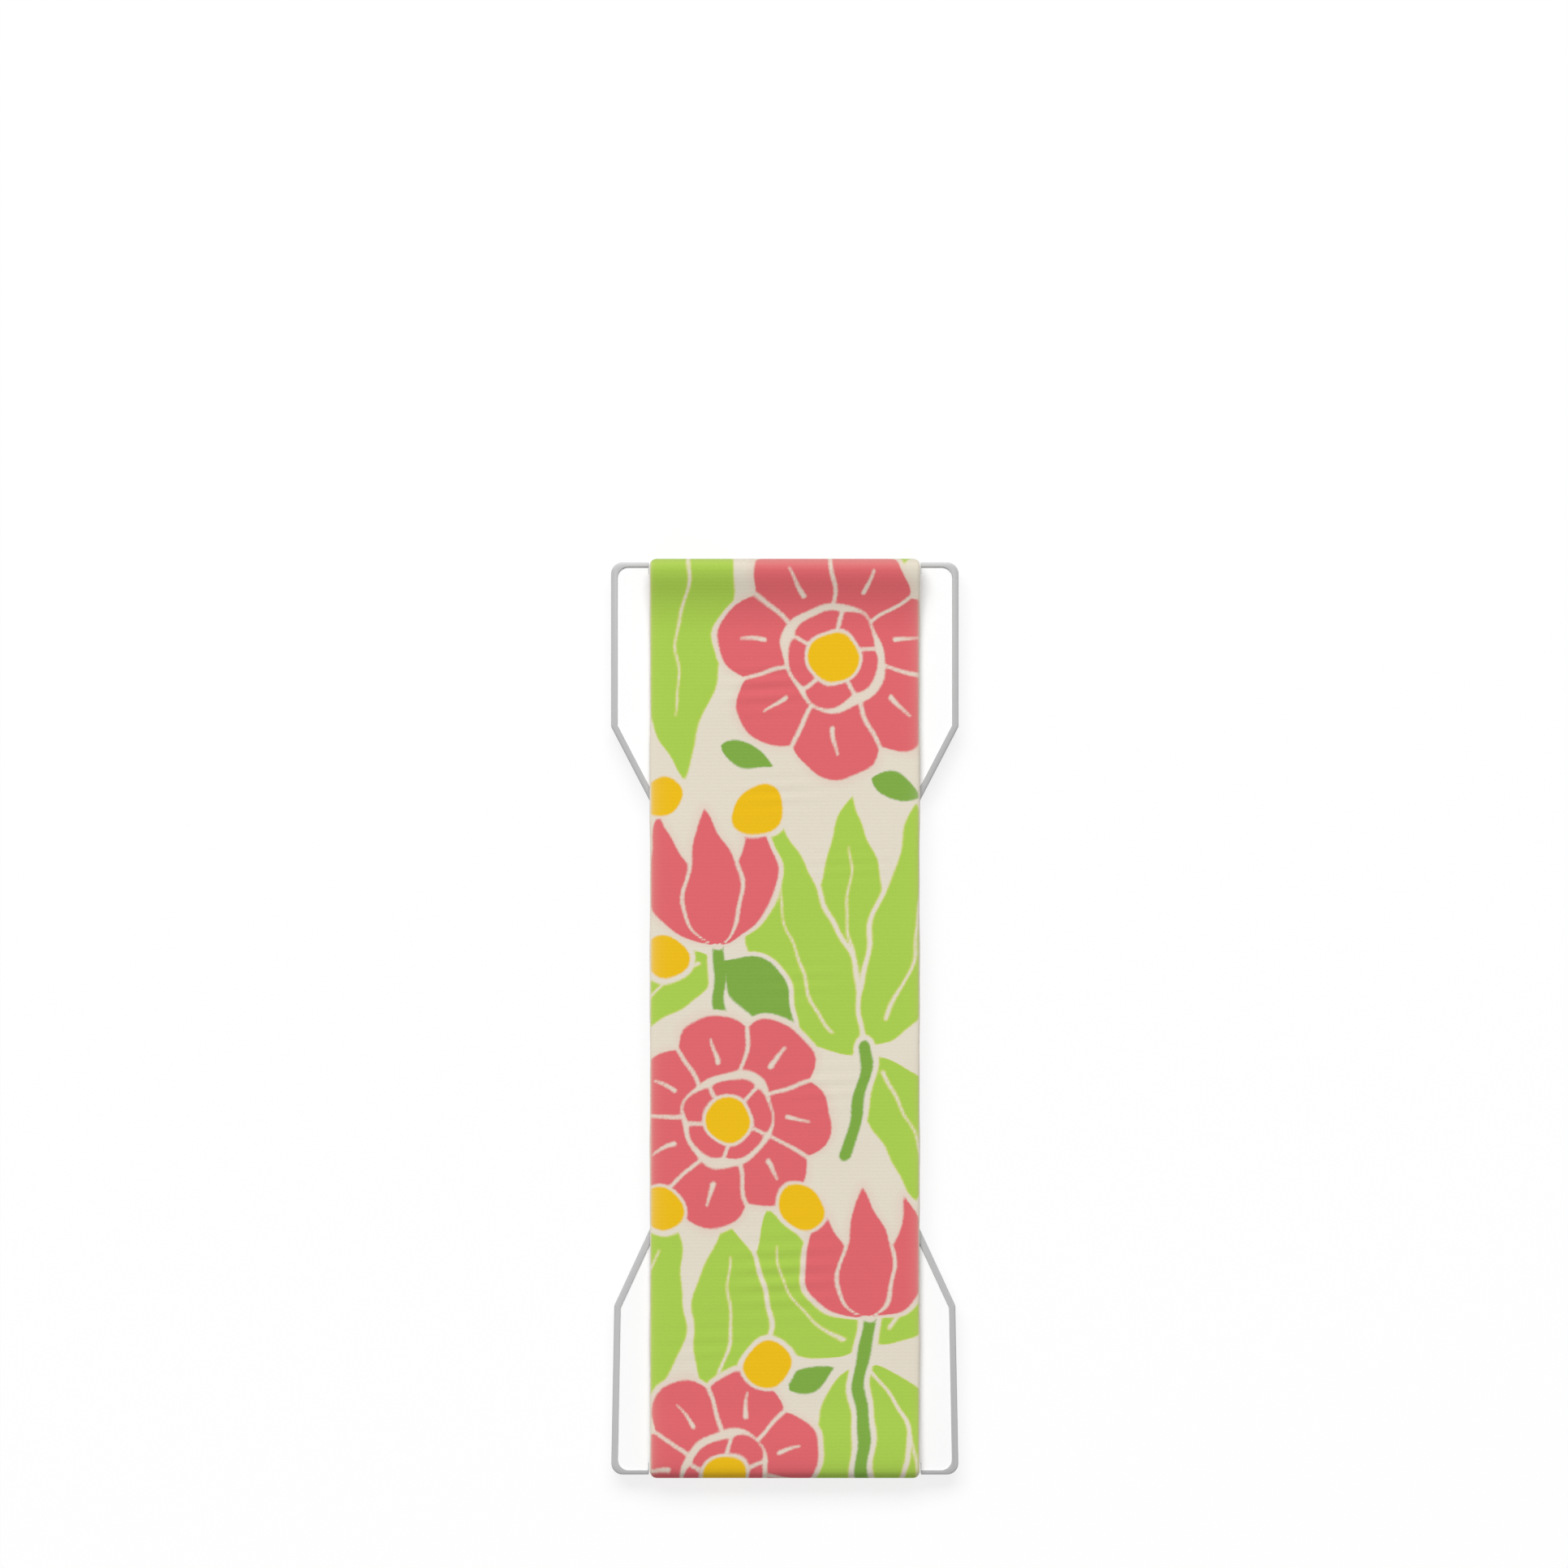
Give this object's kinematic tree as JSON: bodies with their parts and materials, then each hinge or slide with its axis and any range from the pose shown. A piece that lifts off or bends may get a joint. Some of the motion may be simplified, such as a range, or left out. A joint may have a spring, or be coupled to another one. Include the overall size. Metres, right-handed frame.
{
  "type": "phone finger strap",
  "caption": "Flat phone finger strap: a printed elastic band folded round the ends of a thin hourglass plate with an adhesive back.",
  "frame": {"origin": "on the adhesive face, under the middle of the strap", "axes": "+Z away from the phone, +Y along the strap towards the looser fold (the phone's top), +X across the strap"},
  "size_m": [0.0384, 0.1016, 0.0047],
  "materials": {
    "plate": "satin",
    "band": "matte",
    "foam_tape": "matte",
    "film_tape": "satin"
  },
  "bodies": {
    "root": {"base_plate": "plate", "band": "band", "adhesive_pad": "foam_tape", "upper_tail_tape": "film_tape", "lower_tail_tape": "film_tape"}
  },
  "joints": []
}
